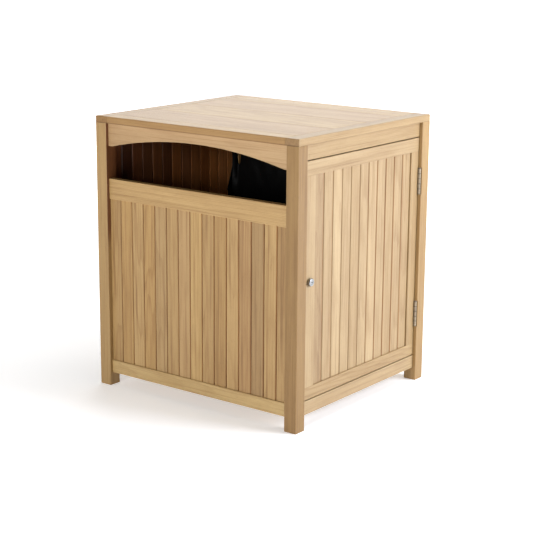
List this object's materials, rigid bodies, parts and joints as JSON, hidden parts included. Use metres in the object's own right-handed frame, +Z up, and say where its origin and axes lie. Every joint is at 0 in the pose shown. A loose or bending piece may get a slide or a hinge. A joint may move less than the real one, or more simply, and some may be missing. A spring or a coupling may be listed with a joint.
{
  "type": "litter bin",
  "caption": "Square-post teak litter bin cabinet with a flush boarded top, an arched front mouth, tongued-and-grooved walls, a locked side door and a lift-out lined steel container.",
  "frame": {"origin": "on the floor, under the middle of the cabinet", "axes": "+Z up; -Y is the front with the arched mouth; +X is the right side with the door"},
  "size_m": [0.72, 0.645, 0.8],
  "materials": {
    "frame_teak": "natural planed teak",
    "slat_teak": "natural planed teak",
    "top_teak": "natural planed teak",
    "inner_teak": "sawn and planed teak",
    "pegs": "turned teak, end grain",
    "hinge_steel": "satin",
    "lock_metal": "bright plated",
    "steel_screws": "plain",
    "hook_wire": "zinc plated",
    "galvanised_steel": "hot-dip galvanised, spangled",
    "handle_rod": "zinc plated",
    "sack_film": "thin creased polyethylene film"
  },
  "bodies": {
    "cabinet": {"post_front_left": "frame_teak", "post_front_right": "frame_teak", "post_rear_left": "frame_teak", "post_rear_right": "frame_teak", "top_front_board": "top_teak", "top_plank_1": "top_teak", "top_plank_2": "top_teak", "top_plank_3": "top_teak", "top_rear_board": "top_teak", "top_end_left": "top_teak", "top_end_right": "top_teak", "top_battens": "inner_teak", "top_screws": "steel_screws", "arched_rail": "frame_teak", "sill_rail": "frame_teak", "bottom_rail_front": "frame_teak", "bottom_rail_rear": "frame_teak", "bottom_rail_left": "frame_teak", "bottom_rail_right": "frame_teak", "top_rail_rear": "frame_teak", "top_rail_left": "frame_teak", "top_rail_right": "frame_teak", "front_slats": "slat_teak", "rear_slats": "slat_teak", "left_slats": "slat_teak", "frame_pegs": "pegs", "floor_bearers": "inner_teak", "floor_slats": "inner_teak", "floor_screws": "steel_screws", "door_stop": "inner_teak", "door_stop_screws": "steel_screws", "upper_hinge_post_leaf": "hinge_steel", "lower_hinge_post_leaf": "hinge_steel", "upper_hinge_pin": "hinge_steel", "lower_hinge_pin": "hinge_steel", "hinge_post_screws": "steel_screws", "lock_keep": "lock_metal", "lock_keep_screws": "steel_screws", "sack_hooks": "hook_wire"},
    "door": {"door_top_rail": "frame_teak", "door_bottom_rail": "frame_teak", "door_lock_stile": "frame_teak", "door_hinge_stile": "frame_teak", "door_slats": "slat_teak", "door_pegs": "pegs", "upper_hinge_door_leaf": "hinge_steel", "lower_hinge_door_leaf": "hinge_steel", "hinge_door_screws": "steel_screws", "lock_body": "lock_metal", "lock_nut": "lock_metal"},
    "lock_cylinder": {"lock_plug": "lock_metal", "lock_cam": "lock_metal", "lock_cam_screw": "steel_screws"},
    "liner_unit": {"liner": "galvanised_steel", "liner_lugs": "galvanised_steel", "liner_rivets": "galvanised_steel", "sack": "sack_film"},
    "left_handle": {"liner_handle_left": "handle_rod"},
    "right_handle": {"liner_handle_right": "handle_rod"}
  },
  "joints": [
    {"name": "door_hinge", "type": "hinge", "parent": "cabinet", "child": "door", "pos_m": [0.3545, 0.2815, 0.4], "axis": [0, 0, 1], "range_deg": [0, 110]},
    {"name": "lock_turn", "type": "hinge", "parent": "door", "child": "lock_cylinder", "pos_m": [0.34, -0.2555, 0.409], "axis": [-1, 0, 0], "range_deg": [0, 90]},
    {"name": "liner_lift", "type": "slide", "parent": "cabinet", "child": "liner_unit", "axis": [0, 0, 1], "range_m": [0, 0.04]},
    {"name": "left_handle_swing", "type": "hinge", "parent": "liner_unit", "child": "left_handle", "pos_m": [-0.28826, 0, 0.3603], "axis": [0, 1, 0], "range_deg": [0, 90]},
    {"name": "right_handle_swing", "type": "hinge", "parent": "liner_unit", "child": "right_handle", "pos_m": [0.28826, 0, 0.3603], "axis": [0, -1, 0], "range_deg": [0, 90]}
  ]
}
